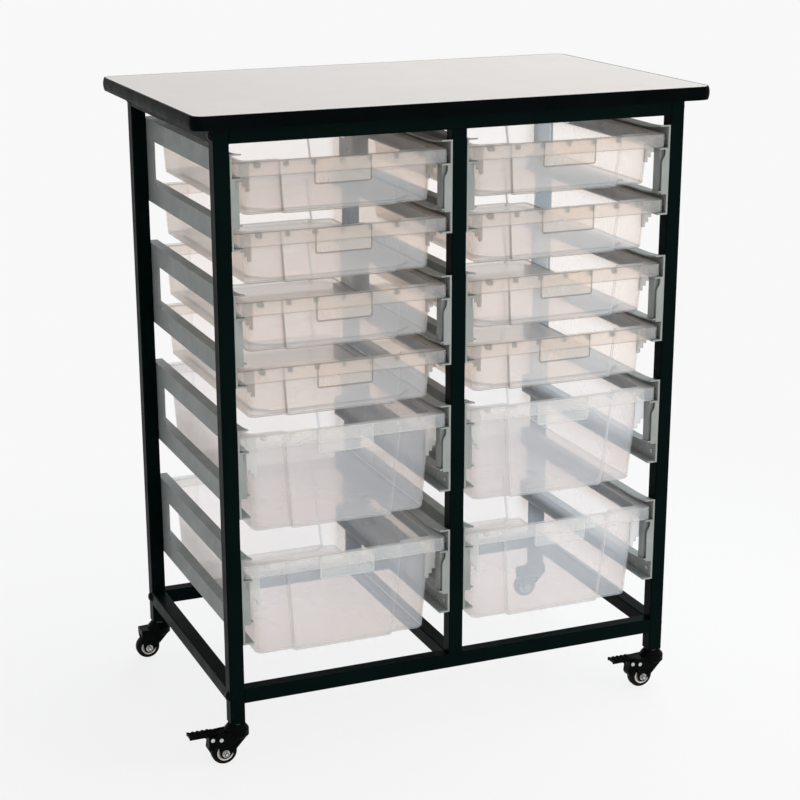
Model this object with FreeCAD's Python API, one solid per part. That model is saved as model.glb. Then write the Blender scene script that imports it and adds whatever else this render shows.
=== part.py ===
import FreeCAD, Part
import math
import os

# Mobile classroom tray store: a square-tube steel carcass with two bays, a laminated top,
# moulded double runners, twelve lift-out trays and four swivel castors.
# Millimetres. X runs to the right, Y to the back, Z up. The origin is on the floor,
# midway between the outer legs and midway between the front and back of the carcass.

# ---------------------------------------------------------------- carcass
carcass_width = 711.0        # over the legs
carcass_depth = 432.0        # over the legs
tube_size = 22.2             # square tube, outside
tube_wall = 1.5
tube_corner = 2.2            # outside corner radius of the tube
castor_height = 62.2         # floor to the leg's end
rail_above_leg_end = 30.3    # leg's end to the underside of the bottom rails
bay_clear_height = 784.9     # top of the bottom rails to the underside of the top rails

# ---------------------------------------------------------------- top
top_overhang_side = 32.0
top_overhang_front = 22.0
board_thickness = 18.2
laminate_thickness = 0.8
edge_band_width = 2.6
edge_band_bulge = 1.8            # how far the band's face domes out at mid height
top_corner_radius = 17.0

# ---------------------------------------------------------------- runners
runner_levels = 4
first_mouth_below_rail = 13.4    # underside of the top rails to the first runner's mouth
below_last_runner = 69.2         # underside of the last runner to the top of the bottom rails
channel_bottom_drop = 35.2       # mouth's top edge to the underside of the bottom flange
mouth_flare = 5.2                # how far the top flange lifts at the mouth
flare_length = 55.0
web_thickness = 2.8
flange_width = 16.0              # from the leg's face
top_flange_thickness = 2.2
bottom_flange_thickness = 2.6
front_plate_depth = 2.4
front_plate_width = 11.8
front_plate_neck = 6.8
neck_length = 6.0
s_bend_height = 15.0
front_web_length = 22.0
column_start = 6.0               # stop column behind the front plate
column_length = 16.0
column_width = 13.4
column_wall = 2.4
rear_link_length = 56.0
end_stop_thickness = 2.4
spare_hole_radius = 2.3
spare_hole_setback = 46.0
spare_hole_drop = 26.7

# ---------------------------------------------------------------- trays
tray_side_gap = 5.1              # tray's rim to the leg's face, on each side
tray_rear_play = 0.6             # tray's rim to the runner's end stop
shallow_height = 75.0
deep_height = 150.0
tray_setback = 2.0               # front of the legs to the tray's rim
rim_thickness = 2.0
rim_corner = 8.0
skirt_height = 19.5
tray_wall = 1.8
tray_floor = 2.0
rim_flange = 15.5                # rim's edge to the body wall, at the top
draft = 0.055                    # side and back walls lean in by this much per unit of depth
front_draft = 0.075
body_corner = 12.0
panel_half_width = 88.5
panel_draft = 0.085
panel_proud = 8.0
panel_slant = 3.0
tab_width = 84.0
tab_height = 36.0
tab_thickness = 2.0
tab_corner = 4.0
gusset_inset = 27.0              # rim's side to the inner end of each stepped front gusset
gusset_step_width = 5.0
gusset_step_height = 7.0
gusset_steps = 3
gusset_front = 13.5
gusset_back = 19.0
shallow_gusset_height = 42.0
deep_gusset_height = 65.0
rim_rib_pitch = 40.0             # small ribs under the front rim, one of them in its middle
ribs_each_side = 3
rim_rib_width = 6.5
rim_rib_height = 9.0
skirt_clearance = 0.4            # between the skirt and the runner's flange
shallow_runner_levels = 2        # upper runners, with a shallow tray in each channel

# ---------------------------------------------------------------- castors
wheel_radius = 19.1
tyre_width = 16.0
tyre_round = 5.0
hub_radius = 12.2
hub_width = 17.0
hub_boss_radius = 6.0
hub_boss_width = 18.4
hub_dish_depth = 3.0
hub_ring_width = 2.4
castor_trail = 20.4
axle_radius = 3.0
running_clearance = 0.05
side_play = 0.4
fork_plate = 2.4
fork_nose_radius = 8.2
fork_foot_setback = 14.0         # where the cheek's sloping front edge starts, from the stem's axis
fork_foot_height = 43.7
head_radius = 18.3
head_top_radius = 12.5
head_skirt_bottom = 41.7
head_shoulder = 52.7
head_chamfer = 1.0
head_gap = 0.4
stem_radius = 4.0
stem_flange_radius = 9.0
stem_flange_height = 2.0
stem_rivet_radius = 7.5
stem_rivet_height = 2.2
stem_seat_depth = 3.2
stem_into_leg = 26.0
hood_left = 32.0
hood_bottom = 41.7
hood_top = 50.4
hood_thickness = 2.4
brake_plate_left = 45.5
brake_plate_bottom = 35.2
brake_plate_top = 49.2
brake_plate_chamfer = 4.0
brake_plate_lap = 8.0            # how far the brake plate runs under the hood
brake_pin_radius = 2.2
brake_pin_setback = 39.8
brake_pin_height = 44.1
spacer_pin_setback = 26.8
spacer_pin_height = 42.0
pin_head_radius = 3.0
pin_head_height = 1.4
washer_radius = 5.6
washer_thickness = 0.8
nut_radius = 4.4
nut_height = 3.4
pedal_tip = 73.0
pedal_inner_end = 34.0
pedal_top = 52.3                 # between the ribs
pedal_ribs = 5
pedal_rib_height = 1.1
pedal_rib_width = 3.4
pedal_rib_pitch = 7.2
pedal_plate = 2.4
pedal_flange = 4.0
pedal_side = 1.8
pedal_half_width = 9.0
pedal_boss_radius = 4.8
shoe_bottom = 22.7
shoe_heel = 27.5                 # height of the shoe's outermost corner
shoe_heel_reach = 5.5            # shoe's outermost corner, beyond the wheel
shoe_toe_reach = 3.5
shoe_half_neck = 3.0             # half the shoe's width at the pin
shoe_inset = 1.0                 # shoe's side to the pedal's side
shoe_gap_pressed = 0.7
pedal_travel_deg = 8.0

# ---------------------------------------------------------------- fasteners and plugs
cap_radius = 8.5
cap_height = 4.5
bolt_radius = 3.0
bolt_grip = 17.0                 # length of bolt past the leg, in the rail's plug
plug_length = 24.0
plug_clearance = 0.1
hole_clearance = 0.15
runner_screw_radius = 1.7
runner_screw_head_radius = 3.4
runner_screw_head = 1.3
runner_screw_bite = 5.0
top_screw_radius = 2.0
top_screw_head_radius = 4.2
top_screw_head = 2.2
top_screw_bite = 11.0
top_screw_offset_x = 170.0
top_screw_offset_y = 105.0
overlap = 0.5                    # how far fused pieces run into each other
cut_over = 1.0                   # how far a cut runs past the piece

# ---------------------------------------------------------------- derived places
half_width = carcass_width / 2
half_depth = carcass_depth / 2
half_tube = tube_size / 2
leg_x = half_width - half_tube
leg_y = half_depth - half_tube
inner_face = half_width - tube_size
bottom_rail_base = castor_height + rail_above_leg_end
bottom_rail_top = bottom_rail_base + tube_size
top_rail_base = bottom_rail_top + bay_clear_height
leg_top = top_rail_base + tube_size
bay_centre = (inner_face + half_tube) / 2
bay_half = (inner_face - half_tube) / 2
tray_width = 2 * (bay_half - tray_side_gap)
tray_depth = carcass_depth - tray_setback - end_stop_thickness - tray_rear_play
runner_stack = bay_clear_height - first_mouth_below_rail - channel_bottom_drop - below_last_runner
double_runner_pitch = runner_stack / (runner_levels - 1 / 2)
channel_pitch = double_runner_pitch / 2
web_drop = mouth_flare
web_height = channel_bottom_drop - web_drop
axle_height = wheel_radius
first_mouth = top_rail_base - first_mouth_below_rail
flange_top_drop = channel_bottom_drop - bottom_flange_thickness
rim_top_drop = flange_top_drop - skirt_clearance - skirt_height
web_mid_drop = web_drop + web_height / 2
hub_half = hub_boss_width / 2
fork_inner = hub_half + side_play
fork_outer = fork_inner + fork_plate
fork_top = castor_height - stem_flange_height - head_gap
brake_pins = [(brake_pin_setback, brake_pin_height), (spacer_pin_setback, spacer_pin_height)]

os.makedirs("parts", exist_ok=True)


def vec(x, y, z):
    return FreeCAD.Vector(x, y, z)


def save(shape, name):
    shape.exportStep("parts/" + name + ".step")


def box(x0, x1, y0, y1, z0, z1):
    low = vec(min(x0, x1), min(y0, y1), min(z0, z1))
    return Part.makeBox(abs(x1 - x0), abs(y1 - y0), abs(z1 - z0), low)


def fuse_all(shapes):
    return shapes[0].multiFuse(shapes[1:]).removeSplitter()


def group(shapes):
    return Part.makeCompound(shapes)


def moved(shape, x, y, z):
    copy = shape.copy()
    copy.translate(vec(x, y, z))
    return copy


def mirrored_x(shape):
    return shape.mirror(vec(0, 0, 0), vec(1, 0, 0))


def cylinder(radius, start, end):
    along = end.sub(start)
    return Part.makeCylinder(radius, along.Length, start, along)


def prism_y(points, y0, y1):
    """Solid with the outline points (x, z), between two depths."""
    outline = [vec(x, y0, z) for x, z in points]
    face = Part.Face(Part.makePolygon(outline + outline[:1]))
    return face.extrude(vec(0, y1 - y0, 0))


def rounded_outline(x0, x1, y0, y1, radius, z):
    """Closed wire: a rectangle with four arc corners, at height z."""
    corners = [
        (x1 - radius, y0 + radius, -90),
        (x1 - radius, y1 - radius, 0),
        (x0 + radius, y1 - radius, 90),
        (x0 + radius, y0 + radius, 180),
    ]
    arcs = [corner_arc(cx, cy, radius, start, z) for cx, cy, start in corners]
    edges = []
    for index, arc in enumerate(arcs):
        edges.append(arc)
        following = arcs[(index + 1) % len(arcs)]
        edges.append(Part.LineSegment(arc.Vertexes[-1].Point, following.Vertexes[0].Point).toShape())
    return Part.Wire(edges)


def corner_arc(cx, cy, radius, start_deg, z):
    """Quarter arc, from start_deg on, about (cx, cy)."""
    points = []
    for turn in (0, 45, 90):
        angle = math.radians(start_deg + turn)
        points.append(vec(cx + radius * math.cos(angle), cy + radius * math.sin(angle), z))
    return Part.Arc(points[0], points[1], points[2]).toShape()


def rounded_block(x0, x1, y0, y1, radius, z0, z1):
    face = Part.Face(rounded_outline(x0, x1, y0, y1, radius, z0))
    return face.extrude(vec(0, 0, z1 - z0))


# ---------------------------------------------------------------- tubes
def square_tube(length):
    """Open square tube standing on z = 0, centred on the Z axis."""
    inner_half = half_tube - tube_wall
    inner_corner = tube_corner - tube_wall
    outside = rounded_block(-half_tube, half_tube, -half_tube, half_tube, tube_corner, 0, length)
    inside = rounded_block(-inner_half, inner_half, -inner_half, inner_half, inner_corner, 0, length)
    return outside.cut(inside)


def tube_along_x(x0, x1, y, z):
    tube = square_tube(x1 - x0)
    tube.rotate(vec(0, 0, 0), vec(0, 1, 0), 90)
    tube.translate(vec(x0, y, z))
    return tube


def tube_along_y(y0, y1, x, z):
    tube = square_tube(y1 - y0)
    tube.rotate(vec(0, 0, 0), vec(1, 0, 0), -90)
    tube.translate(vec(x, y0, z))
    return tube


def tube_plug(length):
    """Square plug that fills the end of a tube, standing on z = 0."""
    half = half_tube - tube_wall - plug_clearance
    return rounded_block(-half, half, -half, half, tube_corner - tube_wall, 0, length)


runner_mouths = [first_mouth - level * double_runner_pitch for level in range(runner_levels)]
screw_heights = []
for mouth in runner_mouths:
    for channel in range(2):
        screw_heights.append(mouth - channel * channel_pitch - web_mid_drop)

bolt_heights = [bottom_rail_base + half_tube, top_rail_base + half_tube]


def screw_holes(face_x, inward, y):
    """Pilot holes in a leg's face for the runner screws; inward is the side the runner is on."""
    radius = runner_screw_radius + hole_clearance
    reach = tube_wall + cut_over
    holes = []
    for height in screw_heights:
        holes.append(cylinder(radius, vec(face_x + inward * cut_over, y, height),
                              vec(face_x - inward * reach, y, height)))
    return holes


def make_legs():
    for side_name, side in (("left", -1), ("right", 1)):
        for end_name, end in (("front", -1), ("rear", 1)):
            leg = moved(square_tube(leg_top - castor_height), side * leg_x, end * leg_y, castor_height)
            cuts = screw_holes(side * inner_face, -side, end * leg_y)
            for height in bolt_heights:
                start = vec(side * (half_width + cut_over), end * leg_y, height)
                finish = vec(side * (inner_face - cut_over), end * leg_y, height)
                cuts.append(cylinder(bolt_radius + hole_clearance, start, finish))
            save(leg.cut(cuts), "leg_" + end_name + "_" + side_name)


def make_posts():
    for end_name, end in (("front", -1), ("rear", 1)):
        post = moved(square_tube(bay_clear_height), 0, end * leg_y, bottom_rail_top)
        cuts = screw_holes(-half_tube, -1, end * leg_y) + screw_holes(half_tube, 1, end * leg_y)
        save(post.cut(cuts), "centre_post_" + end_name)


def top_screw_places():
    """Points on the top rails' centre lines where a screw goes up into the board."""
    places = []
    for end in (-1, 1):
        for side in (-1, 1):
            places.append((side * top_screw_offset_x, end * leg_y))
    for side in (-1, 1):
        for end in (-1, 1):
            places.append((side * leg_x, end * top_screw_offset_y))
    return places


def top_screw_holes():
    radius = top_screw_radius + hole_clearance
    holes = []
    for x, y in top_screw_places():
        holes.append(cylinder(radius, vec(x, y, top_rail_base - cut_over),
                              vec(x, y, leg_top + cut_over)))
    return holes


def make_rails():
    levels = (("bottom", bottom_rail_base + half_tube), ("top", top_rail_base + half_tube))
    for level_name, height in levels:
        for end_name, end in (("front", -1), ("rear", 1)):
            rail = tube_along_x(-inner_face, inner_face, end * leg_y, height)
            if level_name == "top":
                rail = rail.cut(top_screw_holes())
            save(rail, "rail_" + end_name + "_" + level_name)
        reach = half_depth - tube_size
        for side_name, side in (("left", -1), ("right", 1)):
            rail = tube_along_y(-reach, reach, side * leg_x, height)
            if level_name == "top":
                rail = rail.cut(top_screw_holes())
            save(rail, "rail_" + side_name + "_" + level_name)
        save(tube_along_y(-reach, reach, 0, height), "rail_centre_" + level_name)


# ---------------------------------------------------------------- top
def make_top():
    x1 = half_width + top_overhang_side
    y1 = half_depth + top_overhang_front
    band = edge_band_width
    top_z = leg_top + board_thickness + laminate_thickness
    board_z = leg_top + board_thickness
    inner = (-x1 + band, x1 - band, -y1 + band, y1 - band, top_corner_radius - band)
    board = rounded_block(*inner, leg_top, board_z)
    pilots = []
    for x, y in top_screw_places():
        pilots.append(cylinder(top_screw_radius + hole_clearance, vec(x, y, leg_top - cut_over),
                               vec(x, y, leg_top + top_screw_bite + cut_over)))
    save(board.cut(pilots), "top_board")
    save(rounded_block(*inner, board_z, top_z), "top_laminate")
    save(edge_band(x1, y1, top_z), "top_edge_band")


def edge_band(x1, y1, top_z):
    """Domed band round the board: a swept profile, turned about each corner and run along each side."""
    pieces = []
    for side_x, side_y, start in ((1, -1, -90), (1, 1, 0), (-1, 1, 90), (-1, -1, 180)):
        centre = vec(side_x * (x1 - top_corner_radius), side_y * (y1 - top_corner_radius), 0)
        profile = band_profile(top_z)
        profile.rotate(vec(0, 0, 0), vec(0, 0, 1), start)
        profile.translate(centre)
        pieces.append(profile.revolve(centre, vec(0, 0, 1), 90))
        along = math.radians(start - 90)
        length = 2 * ((y1 if start in (0, 180) else x1) - top_corner_radius)
        pieces.append(profile.extrude(vec(length * math.cos(along), length * math.sin(along), 0)))
    return fuse_all(pieces)


def band_profile(top_z):
    """Band's section in the XZ plane, as far from the Z axis as from a corner's centre."""
    inner = top_corner_radius - edge_band_width
    outer = top_corner_radius
    middle = vec(outer + edge_band_bulge, 0, (leg_top + top_z) / 2)
    face = Part.Arc(vec(outer, 0, leg_top), middle, vec(outer, 0, top_z)).toShape()
    corners = [vec(outer, 0, top_z), vec(inner, 0, top_z), vec(inner, 0, leg_top), vec(outer, 0, leg_top)]
    edges = [face]
    for start, finish in zip(corners[:-1], corners[1:]):
        edges.append(Part.LineSegment(start, finish).toShape())
    return Part.Face(Part.Wire(edges))


# ---------------------------------------------------------------- runners
def flange_profile(thickness):
    """Side outline (y, z) of the top flange; z = 0 is the mouth's top edge, y = 0 the front."""
    rise = mouth_flare
    run = flare_length
    radius = (run * run + rise * rise) / (2 * rise)
    half_turn = math.asin(run / radius) / 2
    mid_y = run - radius * math.sin(half_turn)
    mid_z = -rise + radius * (1 - math.cos(half_turn))
    upper = Part.Arc(vec(0, 0, 0), vec(0, mid_y, mid_z), vec(0, run, -rise)).toShape()
    lower = Part.Arc(vec(0, run, -rise - thickness), vec(0, mid_y, mid_z - thickness),
                     vec(0, 0, -thickness)).toShape()
    back_top = vec(0, carcass_depth, -rise)
    back_low = vec(0, carcass_depth, -rise - thickness)
    edges = [
        upper,
        Part.LineSegment(vec(0, run, -rise), back_top).toShape(),
        Part.LineSegment(back_top, back_low).toShape(),
        Part.LineSegment(back_low, vec(0, run, -rise - thickness)).toShape(),
        lower,
        Part.LineSegment(vec(0, 0, -thickness), vec(0, 0, 0)).toShape(),
    ]
    return Part.Face(Part.Wire(edges))


def flared_strip(width, thickness):
    return flange_profile(thickness).extrude(vec(width, 0, 0))


def channel():
    """One C channel on the leg's face x = 0, opening towards +X; z = 0 is the mouth's top."""
    web_fill = flared_strip(web_thickness, channel_bottom_drop - mouth_flare - top_flange_thickness)
    web = box(0, web_thickness, 0, carcass_depth, -channel_bottom_drop, -channel_bottom_drop / 2)
    bottom = box(0, flange_width, 0, carcass_depth, -channel_bottom_drop,
                 bottom_flange_thickness - channel_bottom_drop)
    stop = box(0, flange_width, carcass_depth - end_stop_thickness, carcass_depth,
               -channel_bottom_drop, -mouth_flare)
    return [flared_strip(flange_width, top_flange_thickness), web_fill, web, bottom, stop]


def s_plate(low, high):
    """Front plate in the XZ plane with an S bend that narrows it under the upper channel."""
    swing = front_plate_width - front_plate_neck
    bend_top = high - neck_length
    bend_low = bend_top - s_bend_height
    middle = vec((front_plate_neck + front_plate_width) / 2, 0, (bend_top + bend_low) / 2)
    start = vec(front_plate_neck, 0, bend_top)
    finish = vec(front_plate_width, 0, bend_low)
    radius = (s_bend_height * s_bend_height + swing * swing) / (4 * swing)
    sweep = math.asin(s_bend_height / 2 / radius) / 2
    bulge_x = radius * (1 - math.cos(sweep))
    bulge_z = radius * math.sin(sweep)
    first = Part.Arc(start, vec(start.x + bulge_x, 0, start.z - bulge_z), middle).toShape()
    second = Part.Arc(middle, vec(finish.x - bulge_x, 0, finish.z + bulge_z), finish).toShape()
    corners = [vec(front_plate_width, 0, low), vec(0, 0, low), vec(0, 0, high),
               vec(front_plate_neck, 0, high)]
    edges = [
        first,
        second,
        Part.LineSegment(finish, corners[0]).toShape(),
        Part.LineSegment(corners[0], corners[1]).toShape(),
        Part.LineSegment(corners[1], corners[2]).toShape(),
        Part.LineSegment(corners[2], corners[3]).toShape(),
        Part.LineSegment(corners[3], start).toShape(),
    ]
    return Part.Face(Part.Wire(edges)).extrude(vec(0, front_plate_depth, 0))


def double_runner():
    """Two channels joined at the front and back, on the face x = 0, with the mouth's top at z = 0."""
    pieces = channel()
    pieces += [moved(piece, 0, 0, -channel_pitch) for piece in channel()]
    link_top = -channel_bottom_drop
    link_low = -channel_pitch - mouth_flare
    pieces.append(box(0, web_thickness, 0, front_web_length, link_low - top_flange_thickness,
                      link_top + overlap))
    pieces.append(s_plate(link_low, link_top + bottom_flange_thickness / 2))
    pieces.append(box(0, web_thickness, carcass_depth - rear_link_length, carcass_depth,
                      link_low - overlap, link_top + overlap))
    column_end = column_start + column_length
    pieces.append(box(0, column_width, column_start, column_end, link_low - overlap, link_top + overlap))
    runner = fuse_all(pieces)
    pocket = box(column_wall, column_width - column_wall, column_start + column_wall,
                 column_end - column_wall, link_low + column_wall, link_top - column_wall)
    cuts = [pocket]
    for drop in (0, channel_pitch):
        hole_z = -drop - spare_hole_drop
        cuts.append(cylinder(spare_hole_radius, vec(-cut_over, spare_hole_setback, hole_z),
                             vec(web_thickness + cut_over, spare_hole_setback, hole_z)))
        screw_z = -drop - web_mid_drop
        for y in (half_tube, carcass_depth - half_tube):
            cuts.append(cylinder(runner_screw_radius + hole_clearance, vec(-cut_over, y, screw_z),
                                 vec(web_thickness + cut_over, y, screw_z)))
    return runner.cut(cuts)


def runner_screw():
    """Pan-head screw along X, with its head's seat at x = 0 and its shank towards -X."""
    head = cylinder(runner_screw_head_radius, vec(0, 0, 0), vec(runner_screw_head, 0, 0))
    shank = cylinder(runner_screw_radius, vec(-web_thickness - runner_screw_bite, 0, 0),
                     vec(overlap, 0, 0))
    return head.fuse(shank).removeSplitter()


def make_runners():
    master = double_runner()
    mirrored = mirrored_x(master)
    screw = runner_screw()
    screw_mirrored = mirrored_x(screw)
    screws = []
    for bay_name, centre in (("left", -bay_centre), ("right", bay_centre)):
        for side_name, side in (("left", -1), ("right", 1)):
            face = centre + side * bay_half
            shape = master if side < 0 else mirrored
            stack = [moved(shape, face, -half_depth, mouth) for mouth in runner_mouths]
            save(group(stack), "runners_" + bay_name + "_bay_" + side_name)
            seat = face - side * web_thickness
            screw_shape = screw if side < 0 else screw_mirrored
            for height in screw_heights:
                for end in (-1, 1):
                    screws.append(moved(screw_shape, seat, end * leg_y, height))
    save(group(screws), "runner_screws")


# ---------------------------------------------------------------- trays
def body_outline(inset, depth):
    """Tray body's outline at a depth under the rim; inset is 0 outside and the wall inside."""
    lean = draft * depth
    half = tray_width / 2 - rim_flange - lean - inset
    front = rim_flange + front_draft * depth + inset
    back = tray_depth - rim_flange - lean - inset
    panel_front = front - panel_proud
    panel = panel_half_width - panel_draft * depth - inset
    radius = body_corner - inset
    z = -depth
    corners = [
        (half - radius, front + radius, -90),
        (half - radius, back - radius, 0),
        (-half + radius, back - radius, 90),
        (-half + radius, front + radius, 180),
    ]
    arcs = [corner_arc(cx, cy, radius, start, z) for cx, cy, start in corners]
    front_points = [
        arcs[3].Vertexes[-1].Point,
        vec(-panel - panel_slant, front, z),
        vec(-panel, panel_front, z),
        vec(panel, panel_front, z),
        vec(panel + panel_slant, front, z),
        arcs[0].Vertexes[0].Point,
    ]
    edges = []
    for arc, following in zip(arcs[:-1], arcs[1:]):
        edges.append(arc)
        edges.append(Part.LineSegment(arc.Vertexes[-1].Point, following.Vertexes[0].Point).toShape())
    edges.append(arcs[3])
    for start, finish in zip(front_points[:-1], front_points[1:]):
        edges.append(Part.LineSegment(start, finish).toShape())
    return Part.Wire(edges)


def tray(height, gusset_height):
    """Tray with its rim's top at z = 0, its rim's front at y = 0 and its centre at x = 0."""
    half = tray_width / 2
    shell = Part.makeLoft([body_outline(0, rim_thickness / 2), body_outline(0, height)], True, True)
    rim = rounded_block(-half, half, 0, tray_depth, rim_corner, -rim_thickness, 0)
    skirt = rounded_block(-half, half, 0, tray_depth, rim_corner, -skirt_height, -rim_thickness / 2)
    skirt_hollow = rounded_block(rim_thickness - half, half - rim_thickness, rim_thickness,
                                 tray_depth - rim_thickness, rim_corner - rim_thickness,
                                 -skirt_height - cut_over, -rim_thickness)
    tab_half = tab_width / 2
    tab = prism_y([(-tab_half, -rim_thickness / 2), (-tab_half, tab_corner - tab_height),
                   (tab_corner - tab_half, -tab_height), (tab_half - tab_corner, -tab_height),
                   (tab_half, tab_corner - tab_height), (tab_half, -rim_thickness / 2)], 0, tab_thickness)
    pieces = [shell, rim, skirt.cut(skirt_hollow), tab]
    for side in (-1, 1):
        for step in range(gusset_steps):
            near = side * (half - gusset_inset + step * gusset_step_width)
            far = near + side * gusset_step_width
            low = step * gusset_step_height - gusset_height
            pieces.append(box(near, far, gusset_front, gusset_back, low, -rim_thickness / 2))
    for number in range(-ribs_each_side, ribs_each_side + 1):
        centre = number * rim_rib_pitch
        pieces.append(box(centre - rim_rib_width / 2, centre + rim_rib_width / 2, rim_thickness / 2,
                          rim_flange + tray_wall / 2, -rim_rib_height, -rim_thickness / 2))
    inside = Part.makeLoft([body_outline(tray_wall, -cut_over), body_outline(tray_wall, height - tray_floor)],
                           True, True)
    return fuse_all(pieces).cut(inside)


def make_trays():
    shallow = tray(shallow_height, shallow_gusset_height)
    deep = tray(deep_height, deep_gusset_height)
    slots = []
    for level in range(runner_levels):
        if level < shallow_runner_levels:
            slots += [(shallow, level, 0), (shallow, level, 1)]
        else:
            slots.append((deep, level, 0))
    for bay_name, centre in (("left", -bay_centre), ("right", bay_centre)):
        for number, (shape, level, channel) in enumerate(slots, start=1):
            mouth = runner_mouths[level] - channel * channel_pitch
            placed = moved(shape, centre, tray_setback - half_depth, mouth - rim_top_drop)
            save(placed, "tray_" + bay_name + "_" + str(number))


# ---------------------------------------------------------------- castors
def tangent_point(outside, centre, radius, turn):
    """Where the line from a point touches a circle, both as (x, z); turn picks the side."""
    dx = outside[0] - centre[0]
    dz = outside[1] - centre[1]
    distance = math.hypot(dx, dz)
    angle = math.atan2(dz, dx) + turn * math.acos(radius / distance)
    return (centre[0] + radius * math.cos(angle), centre[1] + radius * math.sin(angle))


def fork_cheek(y0, braked):
    """Side plate of the fork, from y0 outwards by one plate thickness."""
    axle = (-castor_trail, axle_height)
    right_foot = (fork_foot_setback, fork_foot_height)
    left_foot = (-hood_left, hood_bottom)
    right_touch = tangent_point(right_foot, axle, fork_nose_radius, -1)
    left_touch = tangent_point(left_foot, axle, fork_nose_radius, 1)
    outline = [right_foot, (fork_foot_setback, head_shoulder), (-hood_left, hood_top), left_foot,
               left_touch, axle, right_touch]
    y1 = y0 + fork_plate
    nose = cylinder(fork_nose_radius, vec(axle[0], y0, axle[1]), vec(axle[0], y1, axle[1]))
    pieces = [prism_y(outline, y0, y1), nose]
    if braked:
        lap = brake_plate_lap - hood_left
        chamfer = brake_plate_chamfer
        pieces.append(prism_y([(lap, brake_plate_bottom), (chamfer - brake_plate_left, brake_plate_bottom),
                               (-brake_plate_left, brake_plate_bottom + chamfer),
                               (-brake_plate_left, brake_plate_top), (lap, brake_plate_top)], y0, y1))
    return fuse_all(pieces)


def fork(braked):
    """Swivel fork about the Z axis, trailing towards -X."""
    chamfer = head_chamfer
    profile = [
        vec(0, 0, head_skirt_bottom), vec(head_radius - chamfer, 0, head_skirt_bottom),
        vec(head_radius, 0, head_skirt_bottom + chamfer), vec(head_radius, 0, head_shoulder - chamfer),
        vec(head_radius - chamfer, 0, head_shoulder + chamfer), vec(head_top_radius, 0, fork_top),
        vec(0, 0, fork_top), vec(0, 0, head_skirt_bottom),
    ]
    head = Part.Face(Part.makePolygon(profile)).revolve(vec(0, 0, 0), vec(0, 0, 1), 360)
    pieces = [head, fork_cheek(fork_inner, braked), fork_cheek(-fork_outer, braked)]
    pieces.append(box(-hood_left, 0, -fork_outer, fork_outer, hood_top - hood_thickness, hood_top))
    if not braked:
        pieces.append(box(-hood_left, hood_thickness - hood_left, -fork_outer, fork_outer,
                          hood_bottom, hood_top))
    body = fuse_all(pieces)
    seat_top = head_skirt_bottom + stem_seat_depth
    cuts = [
        cylinder(stem_radius + running_clearance, vec(0, 0, 0), vec(0, 0, castor_height)),
        cylinder(stem_rivet_radius + side_play, vec(0, 0, 0), vec(0, 0, seat_top)),
        cylinder(axle_radius + running_clearance, vec(-castor_trail, -head_radius, axle_height),
                 vec(-castor_trail, head_radius, axle_height)),
    ]
    if braked:
        for setback, height in brake_pins:
            cuts.append(cylinder(brake_pin_radius + running_clearance, vec(-setback, -head_radius, height),
                                 vec(-setback, head_radius, height)))
    return body.cut(cuts)


def stem():
    """Threaded stem with a flange under the leg and a rivet head inside the fork."""
    seat_top = head_skirt_bottom + stem_seat_depth
    shaft = cylinder(stem_radius, vec(0, 0, seat_top - head_gap - overlap),
                     vec(0, 0, castor_height + stem_into_leg))
    flange = cylinder(stem_flange_radius, vec(0, 0, castor_height - stem_flange_height),
                      vec(0, 0, castor_height))
    rivet_top = seat_top - head_gap
    rivet = cylinder(stem_rivet_radius, vec(0, 0, rivet_top - stem_rivet_height), vec(0, 0, rivet_top))
    return fuse_all([shaft, flange, rivet])


def tyre():
    half = tyre_width / 2
    outer = cylinder(wheel_radius, vec(0, -half, 0), vec(0, half, 0))
    round_edges = [edge for edge in outer.Edges if len(edge.Vertexes) == 1]
    outer = outer.makeFillet(tyre_round, round_edges)
    return outer.cut(cylinder(hub_radius, vec(0, -tyre_width, 0), vec(0, tyre_width, 0)))


def hub():
    """Wheel centre: a disc with a standing ring on each side and a bored boss."""
    half = hub_width / 2
    boss = cylinder(hub_boss_radius, vec(0, -hub_half, 0), vec(0, hub_half, 0))
    disc = cylinder(hub_radius, vec(0, -half, 0), vec(0, half, 0))
    ring_inner = hub_radius - hub_ring_width
    for side in (-1, 1):
        dish = cylinder(ring_inner, vec(0, side * (half - hub_dish_depth), 0), vec(0, side * hub_width, 0))
        disc = disc.cut(dish)
    bore = cylinder(axle_radius + running_clearance, vec(0, -hub_width, 0), vec(0, hub_width, 0))
    return disc.fuse(boss).removeSplitter().cut(bore)


def hexagon(radius, y0, y1, x, z):
    points = []
    for corner in range(6):
        angle = math.radians(60 * corner)
        points.append((x + radius * math.cos(angle), z + radius * math.sin(angle)))
    return prism_y(points, y0, y1)


def headed_pin(radius, head_radius_here, head_height, x, z):
    pieces = [cylinder(radius, vec(x, -fork_outer - overlap, z), vec(x, fork_outer + overlap, z))]
    for side in (-1, 1):
        start = vec(x, side * fork_outer, z)
        pieces.append(cylinder(head_radius_here, start, vec(x, side * (fork_outer + head_height), z)))
    return fuse_all(pieces)


def castor_pins(braked):
    """Axle bolt with its nut and, on a braked castor, the two brake rivets."""
    pieces = [cylinder(axle_radius, vec(-castor_trail, -fork_outer - overlap, axle_height),
                       vec(-castor_trail, fork_outer + overlap, axle_height))]
    for side in (-1, 1):
        seat = side * fork_outer
        washer_face = seat + side * washer_thickness
        pieces.append(cylinder(washer_radius, vec(-castor_trail, seat, axle_height),
                               vec(-castor_trail, washer_face, axle_height)))
        pieces.append(hexagon(nut_radius, washer_face, washer_face + side * nut_height,
                              -castor_trail, axle_height))
    pins = [fuse_all(pieces)]
    if braked:
        for setback, height in brake_pins:
            pins.append(headed_pin(brake_pin_radius, pin_head_radius, pin_head_height, -setback, height))
    return group(pins)


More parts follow.
